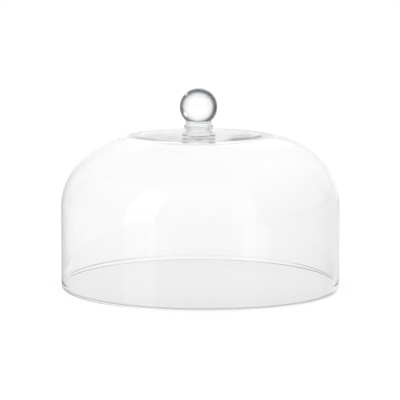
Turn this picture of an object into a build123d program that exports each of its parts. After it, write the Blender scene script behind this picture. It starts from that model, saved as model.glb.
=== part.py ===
from build123d import *
import os
from math import asin, cos, degrees, radians, sqrt

# Clear glass dome with a ball knob, for covering a cake or a cheese board.
# Millimetres, +Z up. The origin is the middle of the rim's circle, on the
# surface that the dome stands on.

# Driving dimensions of the blown bell
bell_diameter = 300.0
wall = 3.5
rim_round = 1.3         # fire-polished edges of the rim, inside and out
wall_height = 84.0      # the straight part of the wall
shoulder_radius = 73.0
shoulder_turn = 54.5    # degrees of shoulder before the flatter crown begins
crown_radius = 116.0
dish_diameter = 147.0   # across the crest of the ring that frames the dished top
crest_radius = 30.0
dish_fall = 14.4        # degrees, slope of the dish just inside the crest
dish_radius = 100.0

# Driving dimensions of the knob, built up from three gathers of hot glass
foot_diameter = 36.4
foot_height = 6.4
foot_round = 2.9
neck_diameter = 28.0
collar_height = 13.2
ring_diameter = 31.6
ring_height = 5.0
ring_rise = 4.2         # from the foot to the lower edge of the collar's ring
ball_diameter = 40.4

# Worked out from the above
bell_r = bell_diameter / 2
neck_r = neck_diameter / 2
ball_r = ball_diameter / 2
# the crown arc ends where its tangent circle, the crest, tops out at the dish diameter
crown_centre_r = bell_r - shoulder_radius - (crown_radius - shoulder_radius) * cos(radians(shoulder_turn))
crown_slope = degrees(asin((dish_diameter / 2 - crown_centre_r) / (crown_radius - crest_radius)))
crown_turn = 90 - shoulder_turn - crown_slope
crest_turn = crown_slope + dish_fall


def bell_curve(inset):
    """Draws wall, shoulder, crown, crest, dish and flat seat, inset from the outer face; returns the seat."""
    side = Line((bell_r - inset, 0), (bell_r - inset, wall_height))
    shoulder = JernArc(side @ 1, side % 1, shoulder_radius - inset, shoulder_turn)
    crown = JernArc(shoulder @ 1, shoulder % 1, crown_radius - inset, crown_turn)
    crest = JernArc(crown @ 1, crown % 1, crest_radius - inset, crest_turn)
    dish = JernArc(crest @ 1, crest % 1, dish_radius + inset, -dish_fall)
    return Line(dish @ 1, (0, (dish @ 1).Y))


# The bell, blown in one piece: a shell of even wall, closed above and open below
with BuildPart() as glass_bell:
    with BuildSketch(Plane.XZ):
        with BuildLine():
            seat = bell_curve(0)
            ceiling = bell_curve(wall)
            Line(seat @ 1, ceiling @ 1)
            Line((bell_r, 0), (bell_r - wall, 0))
        make_face()
    revolve(axis=Axis.Z)
    fillet(glass_bell.edges().group_by(Axis.Z)[0], rim_round)

seat_height = (seat @ 1).Y
foot_top = seat_height + foot_height
collar_top = foot_top + collar_height
ball_centre = collar_top + sqrt(ball_r**2 - neck_r**2)

# The foot, a round wafer of glass laid on the middle of the dish
with BuildPart() as knob_foot:
    with BuildSketch(Plane.XY.offset(seat_height)):
        Circle(foot_diameter / 2)
    extrude(amount=foot_height)
    fillet(knob_foot.edges(), foot_round)

# The collar, a short neck with a rounded ring pinched into it
with BuildPart() as knob_collar:
    with BuildSketch(Plane.XZ):
        with BuildLine():
            Line((0, foot_top), (neck_r, foot_top))
            Line((neck_r, foot_top), (neck_r, foot_top + ring_rise))
            ThreePointArc(
                (neck_r, foot_top + ring_rise),
                (ring_diameter / 2, foot_top + ring_rise + ring_height / 2),
                (neck_r, foot_top + ring_rise + ring_height),
            )
            Line((neck_r, foot_top + ring_rise + ring_height), (neck_r, collar_top))
            Line((neck_r, collar_top), (0, collar_top))
            Line((0, collar_top), (0, foot_top))
        make_face()
    revolve(axis=Axis.Z)

# The ball, solid, melted flat where it stands on the collar
with BuildPart() as ball_knob:
    with BuildSketch(Plane.XZ):
        with BuildLine():
            Line((0, ball_centre + ball_r), (0, collar_top))
            Line((0, collar_top), (neck_r, collar_top))
            ThreePointArc((neck_r, collar_top), (ball_r, ball_centre), (0, ball_centre + ball_r))
        make_face()
    revolve(axis=Axis.Z)

os.makedirs("parts", exist_ok=True)
glass_bell.part.label = "glass_bell"
knob_foot.part.label = "knob_foot"
knob_collar.part.label = "knob_collar"
ball_knob.part.label = "ball_knob"
export_step(glass_bell.part, "parts/glass_bell.step")
export_step(knob_foot.part, "parts/knob_foot.step")
export_step(knob_collar.part, "parts/knob_collar.step")
export_step(ball_knob.part, "parts/ball_knob.step")
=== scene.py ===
import math
import bpy
import numpy as np
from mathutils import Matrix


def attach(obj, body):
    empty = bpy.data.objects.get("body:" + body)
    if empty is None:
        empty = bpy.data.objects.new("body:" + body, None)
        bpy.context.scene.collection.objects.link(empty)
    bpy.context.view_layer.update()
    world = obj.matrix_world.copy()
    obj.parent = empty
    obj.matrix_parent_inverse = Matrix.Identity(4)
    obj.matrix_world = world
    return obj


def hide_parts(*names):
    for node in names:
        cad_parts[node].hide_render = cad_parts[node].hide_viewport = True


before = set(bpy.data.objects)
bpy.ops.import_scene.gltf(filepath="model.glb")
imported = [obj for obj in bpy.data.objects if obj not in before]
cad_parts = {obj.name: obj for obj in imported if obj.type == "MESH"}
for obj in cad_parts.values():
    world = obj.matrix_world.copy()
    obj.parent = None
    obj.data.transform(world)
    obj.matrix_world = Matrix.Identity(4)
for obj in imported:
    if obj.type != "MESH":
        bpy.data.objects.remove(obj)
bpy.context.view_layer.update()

# The bell.
# Soda-lime glass blown in one piece, its wall a little thicker at the right, as the gather was. Its rim is
# cracked off and fire-polished. It carries everything else.

bell_radius = 150.0             # sizes are in mm here, and in metres in the meshes and materials
wall_height = 84.0
shoulder_radius, shoulder_turn = 73.0, 54.5
crown_radius = 116.0
dish_radius_at_crest = 73.5
crest_radius, dish_fall, dish_hollow = 30.0, 14.4, 100.0
rim_top = 4.6                   # the fire-polished edge, half an ellipse across the wall, ends below this
bead_top = 9.0                  # and its bead ends below this
wall_mean, wall_uneven, rim_more = 2.1, 0.5, 0.12
foot_radius = 18.2
round_steps = 512
shoulder_steps, crown_steps, crest_steps, dish_steps, seat_steps = 24, 14, 18, 14, 5


def arc(centre, radius, start, end, steps):
    """Points (r, z) on a circle about centre, from angle start to angle end in degrees, without the first."""
    turn = np.radians(np.linspace(start, end, steps + 1)[1:])
    return np.c_[centre[0] + radius * np.cos(turn), centre[1] + radius * np.sin(turn)]


def bell_outline():
    """The outer face as points (r, z) from the rim up: a line, then shoulder, crown, crest and dish arcs,
    each tangent to the one before, and a flat seat. Where two arcs meet, both centres lie on one line with
    that point, so the next centre is the last one moved along it by the difference of the radii, or by
    their sum where the curve turns over."""
    heights = np.r_[np.linspace(rim_top, bead_top, 9), np.linspace(bead_top, wall_height, 4)[1:]]
    wall = np.c_[np.full(len(heights), bell_radius), heights]
    about = np.array([bell_radius - shoulder_radius, wall_height])
    shoulder = arc(about, shoulder_radius, 0, shoulder_turn, shoulder_steps)
    lean = math.radians(shoulder_turn)
    about = about - (crown_radius - shoulder_radius) * np.array([math.cos(lean), math.sin(lean)])
    tip = 90 - math.degrees(math.asin((dish_radius_at_crest - about[0]) / (crown_radius - crest_radius)))
    crown = arc(about, crown_radius, shoulder_turn, tip, crown_steps)
    lean = math.radians(tip)
    about = about + (crown_radius - crest_radius) * np.array([math.cos(lean), math.sin(lean)])
    crest = arc(about, crest_radius, tip, 90 + dish_fall, crest_steps)
    lean = math.radians(90 + dish_fall)
    about = about + (crest_radius + dish_hollow) * np.array([math.cos(lean), math.sin(lean)])
    dish = arc(about, dish_hollow, 270 + dish_fall, 270, dish_steps)
    seat_r = np.linspace(dish[-1, 0], foot_radius, seat_steps + 1)[1:]
    seat = np.c_[seat_r, np.full(seat_steps, dish[-1, 1])]
    return np.vstack([wall, shoulder, crown, crest, dish, seat])


def carried_round(name, r, z, lean, material, seam, seam_rows):
    """A closed skin: row i of the outline (r, z) is carried round the upright axis and moved sideways by its
    lean. The first and last rows are points on the axis. Bands that start at seam_rows take the seam."""
    rows = len(r)
    turn = np.linspace(0, 2 * np.pi, round_steps, endpoint=False)
    r = np.broadcast_to(np.asarray(r, float).reshape(rows, -1), (rows, round_steps))
    z = np.broadcast_to(np.asarray(z, float).reshape(rows, -1), (rows, round_steps))
    lean = np.broadcast_to(np.asarray(lean, float).reshape(-1, 1), (rows, round_steps))
    skin = np.stack([r * np.cos(turn) + lean, r * np.sin(turn), z], -1)
    points = np.vstack([skin[1:-1].reshape(-1, 3), skin[0].mean(0)[None], skin[-1].mean(0)[None]]) / 1000
    j = np.arange(round_steps)
    k = (j + 1) % round_steps
    i = np.arange(rows - 3)[:, None] * round_steps
    quads = np.stack([i + j, i + round_steps + j, i + round_steps + k, i + k], -1).reshape(-1, 4)
    first, last = len(points) - 2, len(points) - 1
    end = (rows - 3) * round_steps
    caps = np.vstack([np.c_[np.full(round_steps, first), j, k],
                      np.c_[np.full(round_steps, last), end + k, end + j]])
    mesh = bpy.data.meshes.new(name)
    mesh.from_pydata(points.tolist(), [], quads.tolist() + caps.tolist())
    mesh.shade_smooth()
    mesh.materials.append(material)
    mesh.materials.append(seam)
    band = np.isin(np.arange(rows - 1), seam_rows).astype(np.int32)
    mesh.polygons.foreach_set("material_index", np.r_[
        np.repeat(band[1:-1], round_steps), np.repeat(band[[0, -1]], round_steps)])
    piece = bpy.data.objects.new(name, mesh)
    bpy.context.scene.collection.objects.link(piece)
    return piece


def node(tree, kind, inputs=(), **settings):
    """Adds a shader node with its settings. Each (socket, value) of inputs is linked if value is a socket,
    or a node, whose first output is meant, and is set otherwise."""
    made = tree.nodes.new("ShaderNode" + kind)
    for name, value in settings.items():
        setattr(made, name, value)
    for socket, value in inputs:
        if isinstance(value, bpy.types.Node):
            value = value.outputs[0]
        if isinstance(value, bpy.types.NodeSocket):
            tree.links.new(value, made.inputs[socket])
        else:
            made.inputs[socket].default_value = value
    return made


def linear(code):
    """An sRGB hex colour as linear red, green, blue and alpha."""
    c = np.array([int(code[i:i + 2], 16) for i in (1, 3, 5)]) / 255
    return (*np.where(c <= 0.04045, c / 12.92, ((c + 0.055) / 1.055) ** 2.4).tolist(), 1.0)


def fill(ramp, tones):
    """Gives a colour ramp its stops, which are pairs of a position and an sRGB hex colour, lowest first."""
    stops = ramp.color_ramp.elements
    for stop, (position, code) in zip(stops, (tones[0], tones[-1])):
        stop.position, stop.color = position, linear(code)
    for position, code in tones[1:-1]:
        stops.new(position).color = linear(code)


def clear_glass(name):
    """Soda-lime glass, fire-polished: no roughness and an index of 1.5. Each piece adds its own tints, and the
    plain tone stands in for them where only a single colour is read."""
    made = bpy.data.materials.new(name)
    made.use_nodes = True
    shader = made.node_tree.nodes["Principled BSDF"]
    shader.inputs["Base Color"].default_value = linear("#FCFCFC")
    shader.inputs["Roughness"].default_value = 0.0
    shader.inputs["IOR"].default_value = 1.5
    shader.inputs["Transmission Weight"].default_value = 1.0
    return made


blown_glass = clear_glass("blown_soda_lime_glass")
tree = blown_glass.node_tree
shader = tree.nodes["Principled BSDF"]
here = node(tree, "TexCoord").outputs["Object"]
place = node(tree, "SeparateXYZ", [(0, here)])
at_x, at_y, at_z = (place.outputs[axis] for axis in "XYZ")
# painted shade: seen edge-on the glass is greyed by angle of view, for the dim room seen along its edges,
# and greyed more at the right, where the wall is also thicker
edge_on = node(tree, "LayerWeight", [("Blend", 0.5)]).outputs["Facing"]
edge_on_shade = node(tree, "ValToRGB", [("Fac", edge_on)])
fill(edge_on_shade, ((0.05, "#FCFCFC"), (0.5, "#FBFBFB"), (0.78, "#F6F7F7"), (0.84, "#EAEBEB"), (0.9, "#DCDEDE"),
             (1.0, "#CED0D0")))
right_side_shade = node(tree, "ValToRGB", [("Fac", edge_on)])
fill(right_side_shade, ((0.74, "#FCFCFC"), (0.86, "#E2E3E3")))
to_right = node(tree, "MapRange", [("Value", at_x), ("From Min", 0.02), ("From Max", 0.15)],
                interpolation_type="SMOOTHSTEP")
toned = node(tree, "Mix", [(0, to_right), (6, edge_on_shade), (7, right_side_shade)], data_type="RGBA", blend_type="MULTIPLY")
# the shoulder and the crown are drawn thin, and outside the crest only a painted shade, by angle of view,
# greys their outline
from_axis = node(tree, "VectorMath", [(0, node(tree, "CombineXYZ", [(0, at_x), (1, at_y)]))],
                 operation="LENGTH").outputs["Value"]
past_crest = node(tree, "MapRange", [("Value", from_axis), ("From Min", 0.07), ("From Max", 0.084)])
outline = node(tree, "Math", [(0, edge_on), (1, past_crest)], operation="MULTIPLY")
painted_outline_shade = node(tree, "ValToRGB", [("Fac", outline)])
fill(painted_outline_shade, ((0.83, "#FCFCFC"), (0.92, "#E0E2E2")))
thin = node(tree, "MapRange", [("Value", at_z), ("From Min", 0.09), ("From Max", 0.125)],
            interpolation_type="SMOOTHSTEP")
toned = node(tree, "Mix", [(0, thin), (6, toned.outputs[2]), (7, painted_outline_shade)], data_type="RGBA")
# painted shade: the slope inside the crest is greyed where it is seen edge-on, for the dim room seen along it
edge_on_share = node(tree, "MapRange", [("Value", edge_on), ("From Min", 0.5), ("From Max", 0.8)],
                  interpolation_type="SMOOTHSTEP")
on_top = node(tree, "Math", [(0, thin), (1, edge_on_share)], operation="MULTIPLY")
aside = node(tree, "Math", [(0, at_x)], operation="ABSOLUTE")
slope = on_top
for value, none, full in ((from_axis, 0.04, 0.056), (from_axis, 0.0745, 0.071), (at_z, 0.135, 0.145),
                          (aside, 0.064, 0.05)):
    way = node(tree, "MapRange", [("Value", value), ("From Min", none), ("From Max", full)],
               interpolation_type="SMOOTHSTEP")
    slope = node(tree, "Math", [(0, slope), (1, way)], operation="MULTIPLY")
toned = node(tree, "Mix", [(0, slope), (6, toned.outputs[2]), (7, linear("#D2D4D4"))],
             data_type="RGBA", blend_type="MULTIPLY")
# painted shade greys the gathers at its ends too, the right one most, where seen edge-on; the mesh makes
# them thicker as well: middle, turn, half length, half depth and tone
any_height = 1000.0             # divides the height away, so that only the plan counts
for middle, turned, wide, deep, code in (((0.0495, -0.003, 0), -15, 0.016, 0.0125, "#646666"),
                                         ((0.043, 0.017, 0), 0, 0.015, 0.017, "#BEC0C0"),
                                         ((-0.06, -0.008, 0), 25, 0.013, 0.009, "#DCDEDE")):
    off = node(tree, "Mapping", [("Vector", here), ("Location", middle), ("Scale", (wide, deep, any_height)),
                                 ("Rotation", (0, 0, math.radians(turned)))], vector_type="TEXTURE")
    off = node(tree, "VectorMath", [(0, off)], operation="LENGTH").outputs["Value"]
    share = node(tree, "MapRange", [("Value", off), ("From Min", 1.4), ("From Max", 0.3)],
                 interpolation_type="SMOOTHSTEP")
    share = node(tree, "Math", [(0, share), (1, on_top)], operation="MULTIPLY")
    toned = node(tree, "Mix", [(0, share), (6, toned.outputs[2]), (7, linear(code))],
                 data_type="RGBA", blend_type="MULTIPLY")
# ripples: where the hot knob was set down they run out from its foot to the left
ripple_length, ripple_height = 0.0045, 0.00007
off = node(tree, "Mapping", [("Vector", here), ("Location", (-0.034, 0, 0)),
                             ("Scale", (0.016, 0.03, any_height))], vector_type="TEXTURE")
off = node(tree, "VectorMath", [(0, off)], operation="LENGTH").outputs["Value"]
share = node(tree, "MapRange", [("Value", off), ("From Min", 1.2), ("From Max", 0.4)],
             interpolation_type="SMOOTHSTEP")
share = node(tree, "Math", [(0, share), (1, thin)], operation="MULTIPLY")
ripple = node(tree, "TexNoise", [("Vector", here), ("Scale", 1 / ripple_length), ("Detail", 1.0)])
uneven = node(tree, "Bump", [("Strength", share), ("Distance", ripple_height),
                             ("Height", ripple.outputs["Fac"])])
tree.links.new(uneven.outputs[0], shader.inputs["Normal"])
# painted shade on the polished rim, for the dark lines its glass bends into view: one fine dark line in front,
# which sinks to the right, and two behind, along its foot and along the top of its bead, where it grows darker
# to the sides. Each has a height in mm, a side, how far it reaches, and how dark it is.
rise = node(tree, "Math", [(0, at_z), (1, 1000.0)], operation="MULTIPLY")
behind = node(tree, "MapRange", [("Value", at_y), ("From Min", -0.004), ("From Max", 0.004)])
in_front = node(tree, "Math", [(0, 1.0), (1, behind)], operation="SUBTRACT")
front_line = node(tree, "MapRange", [("Value", at_x), ("From Min", 0.02), ("From Max", 0.12),
                                     ("To Min", 2.5), ("To Max", 0.6)])
sideways = node(tree, "Math", [(0, at_x), (1, 2.0)], operation="POWER")
bead_line = node(tree, "Math", [(0, sideways), (1, -130.0), (2, 5.6)], operation="MULTIPLY_ADD")
lifted = node(tree, "MapRange", [("Value", at_x), ("From Min", -0.06), ("From Max", -0.12), ("To Max", 0.9)])
bead_line = node(tree, "Math", [(0, bead_line), (1, lifted)], operation="ADD")
later = node(tree, "MapRange", [("Value", at_x), ("From Min", -0.02), ("From Max", 0.02),
                                ("To Min", 0.001), ("To Max", 0.009)])
to_sides = node(tree, "MapRange", [("Value", sideways), ("From Min", later), ("From Max", 0.0145),
                                   ("To Min", 0.05), ("To Max", 0.42)])
painted_rim_shade = 1.0
for line, side, reach, dark in ((front_line, in_front, 0.9, 0.34), (1.2, behind, 0.8, 0.1),
                                (bead_line, behind, 0.75, to_sides)):
    off = node(tree, "Math", [(0, rise), (1, line)], operation="SUBTRACT")
    off = node(tree, "Math", [(0, off)], operation="ABSOLUTE")
    near = node(tree, "MapRange", [("Value", off), ("From Min", reach), ("From Max", reach * 0.4)],
                interpolation_type="SMOOTHSTEP")
    share = node(tree, "Math", [(0, near), (1, side)], operation="MULTIPLY")
    share = node(tree, "Math", [(0, share), (1, dark)], operation="MULTIPLY")
    passed = node(tree, "Math", [(0, 1.0), (1, share)], operation="SUBTRACT")
    painted_rim_shade = node(tree, "Math", [(0, painted_rim_shade), (1, passed)], operation="MULTIPLY")
painted_rim_shade_colour = node(tree, "CombineColor", [(0, painted_rim_shade), (1, painted_rim_shade), (2, painted_rim_shade)])
with_painted_rim_shade = node(tree, "Mix", [(0, 1.0), (6, toned.outputs[2]), (7, painted_rim_shade_colour)],
             data_type="RGBA", blend_type="MULTIPLY")
tree.links.new(with_painted_rim_shade.outputs[2], shader.inputs["Base Color"])
# in the middle of the front the edge is so thin and clear that it can't be told from the table
clear = in_front
for value, none, full in ((at_x, -0.11, -0.06), (at_x, 0.09, 0.05), (at_z, 0.0014, 0.0008)):
    way = node(tree, "MapRange", [("Value", value), ("From Min", none), ("From Max", full)],
               interpolation_type="SMOOTHSTEP")
    clear = node(tree, "Math", [(0, clear), (1, way)], operation="MULTIPLY")
clear = node(tree, "Math", [(0, clear), (1, 0.8)], operation="MULTIPLY")
# and in the thin shoulder most of the light that has been turned back inside the wall three times comes out
turned_back = node(tree, "LightPath").outputs["Glossy Depth"]
guided = node(tree, "Math", [(0, turned_back), (1, 2.5)], operation="GREATER_THAN")
for value, none, full in ((at_z, 0.088, 0.11), (from_axis, 0.076, 0.084)):
    way = node(tree, "MapRange", [("Value", value), ("From Min", none), ("From Max", full)],
               interpolation_type="SMOOTHSTEP")
    guided = node(tree, "Math", [(0, guided), (1, way)], operation="MULTIPLY")
most = node(tree, "MapRange", [("Value", at_x), ("From Min", -0.06), ("From Max", 0.08),
                               ("To Min", 0.5), ("To Max", 0.8)])
clear = node(tree, "Math", [(0, guided), (1, most), (2, clear)], operation="MULTIPLY_ADD")
faded = node(tree, "MixShader", [("Fac", clear), (1, shader), (2, node(tree, "BsdfTransparent"))])
tree.links.new(faded.outputs[0], tree.nodes["Material Output"].inputs["Surface"])

# where two gathers were fused hot there is no surface left, so light goes straight on
fused_seam = bpy.data.materials.new("fused_glass_seam")
fused_seam.use_nodes = True
fused_seam.node_tree.nodes.clear()
seam_tree = fused_seam.node_tree
node(seam_tree, "OutputMaterial", [("Surface", node(seam_tree, "BsdfTransparent"))])

outer = bell_outline()
r, z = outer[:, :1], outer[:, 1:]
seat_z = outer[-1, 1]
turn = np.linspace(0, 2 * np.pi, round_steps, endpoint=False)
run = np.gradient(outer, axis=0)
run /= np.linalg.norm(run, axis=1, keepdims=True)
out_r, out_z = run[:, 1:], -run[:, :1]
# the wall is thicker at the right, and even again in the crown
high = np.clip((z - 90) / 60, 0, 1)
thick = wall_mean + wall_uneven * np.cos(turn) * (1 - high)
# the flame that polished the rim drew the glass together there, and left a slight bead, most of it behind
thick = thick + rim_more * np.exp(-(z / 14) ** 2)
bead_swell, bead_reach = 0.09, 1.3
bead = bead_swell * (1 + np.sin(turn)) * np.exp(-((z - rim_top) / bead_reach) ** 2 / 2)
# two gathers inside the crest: the middle's x and y, how wide and how long, and how much thicker
across, along = r * np.cos(turn), r * np.sin(turn)
inside_crest = np.clip((67.5 - r) / 9, 0, 1)
for x, y, wide, long, more in ((59, 6, 11, 24, 1.8), (-57, 4, 6, 18, 0.2)):
    swell = np.exp(-((across - x) / wide) ** 2 / 2 - ((along - y) / long) ** 2 / 2)
    thick = thick + inside_crest * high * more * swell
outer_r = r + bead
inner_r = r - out_r * thick - bead
inner_z = z - out_z * thick
# the polished edge is less high in front and at the right, and least between, as a hand-turned rim has it
corner = np.radians(np.linspace(0, 90, 7))[:, None]
bend = (outer_r[0] - inner_r[0]) / 2
rim_r = np.vstack([outer_r[0] - bend + bend * np.cos(corner), inner_r[0] + bend - bend * np.sin(corner[1:])])
rim_round = 3.2 + 0.9 * np.sin(turn) - 0.8 * np.cos(turn) - 0.9 * np.clip(np.cos(turn + 0.7), 0, 1) ** 2
rim_z = rim_round * np.vstack([1 - np.sin(corner), 1 - np.cos(corner[1:])])
# hand work: the shoulders lean a little to the right of the wall, the dish and the knob a little to its left
knob_lean, crown_lean = -1.8, 3.4
to_crown = np.clip((outer[:, 1] - 100) / 45, 0, 1) ** 2
to_dish = np.clip((96 - outer[:, 0]) / 26, 0, 1)
bell_lean = crown_lean * to_crown + (knob_lean - crown_lean) * to_dish ** 2 * (3 - 2 * to_dish)
# the skin runs from the middle of the seat down to the rim, and up inside to the middle of the ceiling
flat = np.ones((1, round_steps))
ceiling_steps = np.array([0.75, 0.5, 0.25])[:, None]
ceiling_sag = 0.4
bell_r = np.vstack([0 * flat, foot_radius * 0.5 * flat, outer_r[::-1], rim_r,
                    inner_r, inner_r[-1] * ceiling_steps, 0 * flat])
bell_z = np.vstack([seat_z * flat, seat_z * flat, np.repeat(z[::-1], round_steps, 1), rim_z, inner_z,
                    np.repeat(inner_z[-1:], 3, 0) - ceiling_sag * (1 - ceiling_steps),
                    (inner_z[-1].mean() - ceiling_sag) * flat])
# and the crest stands a little higher in front than behind
tilt, tilt_at, tilt_reach, tilt_above = 0.014, 78, 14, 120
crest_tilt = tilt * np.exp(-((r - tilt_at) / tilt_reach) ** 2 / 2) * (z > tilt_above) * r * np.sin(turn)
bell_z[2:2 + len(outer)] -= crest_tilt[::-1]
bell_z[-4 - len(outer):-4] -= crest_tilt
bell_leans = np.r_[[knob_lean] * 2, bell_lean[::-1], [0] * len(rim_r), bell_lean, [knob_lean] * 4]
glass_bell = carried_round("blown_bell", bell_r, bell_z, bell_leans, blown_glass, fused_seam, (0, 1))
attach(glass_bell, "root")
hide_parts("glass_bell")

# The foot of the knob.
# A wafer of hot glass pressed on the middle of the dish, which spread and rounded at its edge. It is fused
# to the bell below and to the collar above.

foot_height, foot_round = 6.4, 2.9
lip_round = 0.6
weld_gap = 0.05                 # keeps its underside and the seat from lying in one plane
neck_radius = 14.0
foot_top = seat_z + foot_height
knob_glass = clear_glass("solid_soda_lime_glass")
tree = knob_glass.node_tree
shader = tree.nodes["Principled BSDF"]
here = node(tree, "TexCoord").outputs["Object"]
at_z = node(tree, "SeparateXYZ", [(0, here)]).outputs["Z"]
# painted shade: soft grey bands by height in mm, for the light that has gone round inside the ring
# and the foot
bands_top = 20.0
level = node(tree, "MapRange", [("Value", at_z), ("From Min", seat_z / 1000),
                                ("From Max", (seat_z + bands_top) / 1000)])
painted_shade_bands = node(tree, "ValToRGB", [("Fac", level)])
fill(painted_shade_bands, [(up / bands_top, code) for up, code in (
    (0.0, "#FCFDFD"), (1.4, "#FAFBFB"), (3.0, "#E9EBEB"), (5.6, "#CCD0D1"), (7.6, "#BEC2C4"),
    (9.9, "#D4D7D8"), (12.0, "#BBC0C2"), (14.2, "#BDC1C3"), (16.4, "#EEF0F0"), (18.6, "#BEC3C5"),
    (20.0, "#D4D8D9"))])
inside = node(tree, "NewGeometry").outputs["Backfacing"]
toned = node(tree, "Mix", [(0, inside), (6, painted_shade_bands), (7, linear("#FDFDFD"))], data_type="RGBA")
tree.links.new(toned.outputs[2], shader.inputs["Base Color"])
# pinched by hand, so nowhere quite even
wave_length, wave_height = 0.007, 0.0006
waves = node(tree, "TexNoise", [("Vector", here), ("Scale", 1 / wave_length), ("Detail", 1.0)])
uneven = node(tree, "Bump", [("Strength", 0.5), ("Distance", wave_height), ("Height", waves.outputs["Fac"])])
tree.links.new(uneven.outputs[0], shader.inputs["Normal"])
# the edge that spread over the dish is thin, and little of it shows
spread = node(tree, "MapRange", [("Value", at_z), ("From Min", (seat_z + 0.3) / 1000),
                                 ("From Max", (seat_z + 4) / 1000), ("To Min", 0.97), ("To Max", 0.3)])
softer = node(tree, "MixShader", [("Fac", spread), (1, shader), (2, node(tree, "BsdfTransparent"))])
tree.links.new(softer.outputs[0], tree.nodes["Material Output"].inputs["Surface"])
foot = np.vstack([[[0, foot_top], [neck_radius, foot_top], [foot_radius - foot_round, foot_top]],
                  arc((foot_radius - foot_round, foot_top - foot_round), foot_round, 90, 0, 10),
                  [[foot_radius, seat_z + 2 * lip_round]],
                  arc((foot_radius - lip_round, seat_z + lip_round + weld_gap), lip_round, 0, -90, 4),
                  [[0, seat_z + weld_gap]]])
knob_foot = carried_round("foot_wafer", foot[:, 0], foot[:, 1], knob_lean, knob_glass, fused_seam,
                          (0, len(foot) - 2))
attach(knob_foot, "root")
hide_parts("knob_foot")

# The collar.
# A short neck of solid glass with one ring pinched into it, fused to the foot and to the ball. It is of the
# same glass as the foot.

collar_height, ring_rise, ring_height, ring_radius = 13.2, 4.2, 5.0, 15.8
crisp = 0.4                     # rows this close to a corner keep its shading crisp
collar_top = foot_top + collar_height
half = ring_height / 2
ring_bend = (half ** 2 + (ring_radius - neck_radius) ** 2) / (2 * (ring_radius - neck_radius))
ring_turn = math.degrees(math.asin(half / ring_bend))
ring = arc((ring_radius - ring_bend, foot_top + ring_rise + half), ring_bend, ring_turn, -ring_turn, 16)
collar = np.vstack([[[0, collar_top], [neck_radius, collar_top], [neck_radius, collar_top - crisp],
                     [neck_radius, foot_top + ring_rise + ring_height + crisp]], ring,
                    [[neck_radius, foot_top + ring_rise - crisp], [neck_radius, foot_top], [0, foot_top]]])
knob_collar = carried_round("ringed_collar", collar[:, 0], collar[:, 1], knob_lean, knob_glass, fused_seam,
                            (0, len(collar) - 2))
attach(knob_collar, "root")
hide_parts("knob_collar")

# The ball.
# Solid glass, turned round while hot, melted flat where it stands on the collar. Two small painted highlights
# at its left break its painted dark ring.

ball_radius = 20.2
ball_z = collar_top + math.sqrt(ball_radius ** 2 - neck_radius ** 2)
ball_glass = clear_glass("ball_soda_lime_glass")
tree = ball_glass.node_tree
here = node(tree, "TexCoord").outputs["Object"]
# painted shade: a dark ring, by angle of view, for the dim sides of the room that solid glass bends into its
# edge; it lies further in over the top and above the collar, and nearer to the edge at the left
edge_on = node(tree, "LayerWeight", [("Blend", 0.5)]).outputs["Facing"]
ball_middle = (knob_lean / 1000, 0, ball_z / 1000)
outwards = node(tree, "VectorMath", [(0, here), (1, ball_middle)], operation="SUBTRACT")
outwards = node(tree, "VectorMath", [(0, outwards)], operation="NORMALIZE")
way = node(tree, "SeparateXYZ", [(0, outwards)])
further_in = 0.9
for axis, power, gain in (("Z", 4.0, 0.33), ("X", 1.0, 0.14)):
    part = node(tree, "Math", [(0, way.outputs[axis]), (1, power)], operation="POWER")
    further_in = node(tree, "Math", [(0, part), (1, gain), (2, further_in)], operation="MULTIPLY_ADD")
ring_at = node(tree, "Math", [(0, edge_on), (1, further_in)], operation="MULTIPLY")
painted_ring_and_glints = node(tree, "ValToRGB", [("Fac", ring_at)])
fill(painted_ring_and_glints, ((0.0, "#FEFEFE"), (0.1, "#F8F8F8"), (0.16, "#EFEFEF"), (0.21, "#E1E2E2"), (0.26, "#CED0D1"),
                 (0.3, "#AAAEB0"), (0.33, "#8A8F92"), (0.37, "#5F6568"), (0.41, "#41474A"), (0.46, "#25292C"),
                 (0.52, "#14171A"), (0.6, "#121518"), (0.68, "#272B2E"), (0.79, "#575D60"), (1.0, "#AEB3B5")))
painted_ring_and_glints = painted_ring_and_glints.outputs["Color"]
# two painted highlights break the ring: which way each one faces, and the cosine of its half width
for facing, narrow in (((-0.702, -0.626, -0.34), 0.985), ((-0.649, -0.307, 0.696), 0.993)):
    near = node(tree, "VectorMath", [(0, outwards), (1, facing)], operation="DOT_PRODUCT").outputs["Value"]
    painted_highlight_share = node(tree, "MapRange", [("Value", near), ("From Min", narrow), ("From Max", 1.0)],
                 interpolation_type="SMOOTHSTEP")
    painted_ring_and_glints = node(tree, "Mix", [(0, painted_highlight_share), (6, painted_ring_and_glints), (7, linear("#FDFDFD"))],
                     data_type="RGBA").outputs[2]
inside = node(tree, "NewGeometry").outputs["Backfacing"]
toned = node(tree, "Mix", [(0, inside), (6, painted_ring_and_glints), (7, linear("#FDFDFD"))], data_type="RGBA")
tree.links.new(toned.outputs[2], tree.nodes["Principled BSDF"].inputs["Base Color"])
low = -math.degrees(math.acos(neck_radius / ball_radius))
ball = np.vstack([[[0, ball_z + ball_radius]], arc((0, ball_z), ball_radius, 90, low, 90), [[0, collar_top]]])
ball_knob = carried_round("ball", ball[:, 0], ball[:, 1], knob_lean, ball_glass, fused_seam, (len(ball) - 2,))
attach(ball_knob, "root")
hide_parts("ball_knob")

# The studio.
# A plain white table top and a white room, a little dimmer at the sides, with a window to the left of the
# camera and a narrower one to its right, and the camera a little above the dome.

table = bpy.data.materials.new("white_table_top")
table.use_nodes = True
tree = table.node_tree
tree.nodes.clear()
seen_by = node(tree, "LightPath")
paper = node(tree, "BsdfDiffuse", [("Color", linear("#787878"))])
here = node(tree, "TexCoord").outputs["Object"]
from_axis = node(tree, "VectorMath", [(0, here)], operation="LENGTH").outputs["Value"]
at = node(tree, "SeparateXYZ", [(0, here)])
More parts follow.
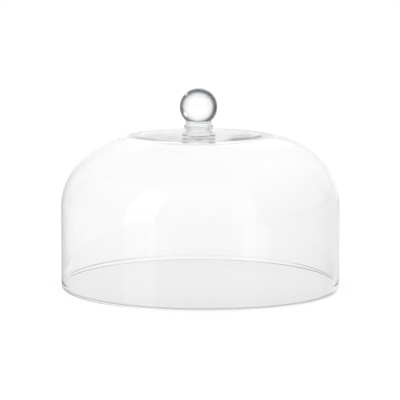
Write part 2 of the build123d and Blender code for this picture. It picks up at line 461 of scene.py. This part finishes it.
# painted shadow: under the dome the table is given a slight shade of the glass's own, seen only through the
# glass, least of it behind and at the right
shade = node(tree, "MapRange", [("Value", at.outputs["Y"]), ("From Min", -0.14), ("From Max", 0.14),
                                ("To Min", 0.705), ("To Max", 0.765)])
lit_right = node(tree, "MapRange", [("Value", at.outputs["X"]), ("From Min", 0.05), ("From Max", 0.12),
                                    ("To Max", 0.045)])
shade = node(tree, "Math", [(0, shade), (1, lit_right)], operation="ADD")
under = node(tree, "MapRange", [("Value", from_axis), ("From Min", 0.146), ("From Max", 0.149),
                                ("To Min", shade), ("To Max", 0.792)])
through = node(tree, "Math", [(0, seen_by.outputs["Is Transmission Ray"]), (1, under)], operation="MULTIPLY")
# painted shadow: a narrow dark band on the table, seen by the camera, just outside the rim at its heavier
# right front
painted_contact_shadow = 0.3
for value, none, full in ((from_axis, 0.1538, 0.1518), (at.outputs["X"], 0.085, 0.115),
                          (at.outputs["Y"], -0.04, -0.06)):
    way = node(tree, "MapRange", [("Value", value), ("From Min", none), ("From Max", full)])
    painted_contact_shadow = node(tree, "Math", [(0, painted_contact_shadow), (1, way)], operation="MULTIPLY")
bare = node(tree, "Math", [(0, 0.83), (1, painted_contact_shadow)], operation="SUBTRACT")
glow = node(tree, "Math", [(0, seen_by.outputs["Is Camera Ray"]), (1, bare), (2, through)],
            operation="MULTIPLY_ADD")
white = node(tree, "Emission", [("Strength", glow)])
both = node(tree, "AddShader", [(0, paper), (1, white)])
node(tree, "OutputMaterial", [("Surface", both)])
table_radius, table_z, table_steps = 4.0, -0.0002, 128
table_turn = np.linspace(0, 2 * np.pi, table_steps, endpoint=False)
table_edge = np.c_[table_radius * np.cos(table_turn), table_radius * np.sin(table_turn),
                   np.full(table_steps, table_z)]
table_mesh = bpy.data.meshes.new("table_top")
table_mesh.from_pydata(table_edge.tolist(), [], [list(range(table_steps))])
table_mesh.materials.append(table)
table_top = bpy.data.objects.new("table_top", table_mesh)
bpy.context.scene.collection.objects.link(table_top)
# the glass mirrors the room alone, as it does over a small table
table_top.visible_glossy = False

room = bpy.data.worlds.new("white_room")
bpy.context.scene.world = room
room.use_nodes = True
tree = room.node_tree
tree.nodes.clear()
towards = node(tree, "SeparateXYZ", [(0, node(tree, "TexCoord").outputs["Generated"])])
bearing = node(tree, "Math", [(0, towards.outputs["X"]), (1, towards.outputs["Y"])], operation="ARCTAN2")
height = node(tree, "Math", [(0, towards.outputs["Z"])], operation="ARCSINE")
# brightness round the room, by bearing in degrees: 0 is behind the dome, + to the right
brightest, behind_camera, ceiling_light = 1.2, 0.9, 1.22
round_room = node(tree, "MapRange", [("Value", bearing), ("From Min", -math.pi), ("From Max", math.pi)])
walls = node(tree, "ValToRGB", [("Fac", round_room)])
stops = walls.color_ramp.elements
for degrees, tone in ((-158, 0.92), (-110, 1.0), (-94, 0.96), (-76, 0.92), (-55, 0.84), (-34, 0.6), (0, 0.7),
                      (14, 0.9), (31, 0.9), (50, 0.82), (118, 0.84), (160, 0.88)):
    stops.new(0.5 + degrees / 360).color = (*[tone / brightest] * 3, 1.0)
stops[0].color = stops[-1].color = (*[behind_camera / brightest] * 3, 1.0)
wall_light = node(tree, "Math", [(0, walls), (1, brightest)], operation="MULTIPLY")
overhead = node(tree, "MapRange", [("Value", height), ("From Min", math.radians(10)),
                                   ("From Max", math.radians(54))], interpolation_type="SMOOTHSTEP")
light = node(tree, "Mix", [("Factor", overhead), ("A", wall_light), ("B", ceiling_light)], data_type="FLOAT")
seen_by = node(tree, "LightPath")
leaning = node(tree, "Math", [(0, height), (1, 0.1), (2, bearing)], operation="MULTIPLY_ADD")
# each patch: bearings from and to, how soft, heights from and to, how soft, how much, and whether it is the
# backdrop, which has one level and shows only through the glass
for left, right, soft, bottom, top, haze, gain, backdrop in (
        (-143, -116, 0.4, -15, 48, 2, 0.52, False),     # the tall window, left of the camera
        (134, 155, 0.4, -15, 34, 12, 0.36, False),      # the narrower one, right of it
        (40, 120, 8, -90, 2, 8, -0.32, False),          # a dim floor at the right
        (-44, -16, 8, 5, 40, 6, 0.2, False),            # light behind the dome, from its left
        (-15, -2, 3, 0, 14, 2, 0.25, False),
        (-10, 34, 6, -16, 1, 3, 0.22, False),
        (-16, 16, 8, 0, 40, 4, 0.08, False),
        (-16, 16, 8, 15, 40, 4, 0.3, False),
        (112, 200, 8, -60, -3, 3, -0.2, False),         # a dim floor behind the camera
        (-200, -150, 8, -60, -3, 3, -0.2, False),
        (-40, 40, 5, -60, 120, 4, 1.04, True)):         # the white backdrop, at this level
    patch = seen_by.outputs["Is Transmission Ray"] if backdrop else 1.0
    for value, lo, hi, blur in ((leaning, left, right, soft), (height, bottom, top, haze)):
        for edge, sign in ((lo, 1), (hi, -1)):
            side = node(tree, "MapRange", [("Value", value), ("From Min", math.radians(edge - sign * blur)),
                                           ("From Max", math.radians(edge + sign * blur))],
                        interpolation_type="SMOOTHSTEP")
            patch = node(tree, "Math", [(0, patch), (1, side)], operation="MULTIPLY")
    if backdrop:
        light = node(tree, "Mix", [("Factor", patch), ("A", light), ("B", gain)], data_type="FLOAT")
    else:
        light = node(tree, "Math", [(0, patch), (1, gain), (2, light)], operation="MULTIPLY_ADD")
shown = node(tree, "Mix", [("Factor", seen_by.outputs["Is Camera Ray"]), ("A", light), ("B", 1.0)],
             data_type="FLOAT")
sky = node(tree, "Background", [("Color", linear("#FFFFFF")), ("Strength", shown)])
node(tree, "OutputWorld", [("Surface", sky)])

lens = bpy.data.cameras.new("camera")
lens.sensor_width, lens.lens, lens.clip_end = 36.0, 175.5, 100.0
camera = bpy.data.objects.new("camera", lens)
bpy.context.scene.collection.objects.link(camera)
camera_rise, camera_away = math.radians(8.333), 2.1
aim_x, aim_z = -0.0004, 0.091645
camera.location = (aim_x, -camera_away * math.cos(camera_rise), aim_z + camera_away * math.sin(camera_rise))
camera.rotation_euler = (math.pi / 2 - camera_rise, 0, 0)
bpy.context.scene.camera = camera
bpy.context.scene.view_settings.view_transform = "Standard"
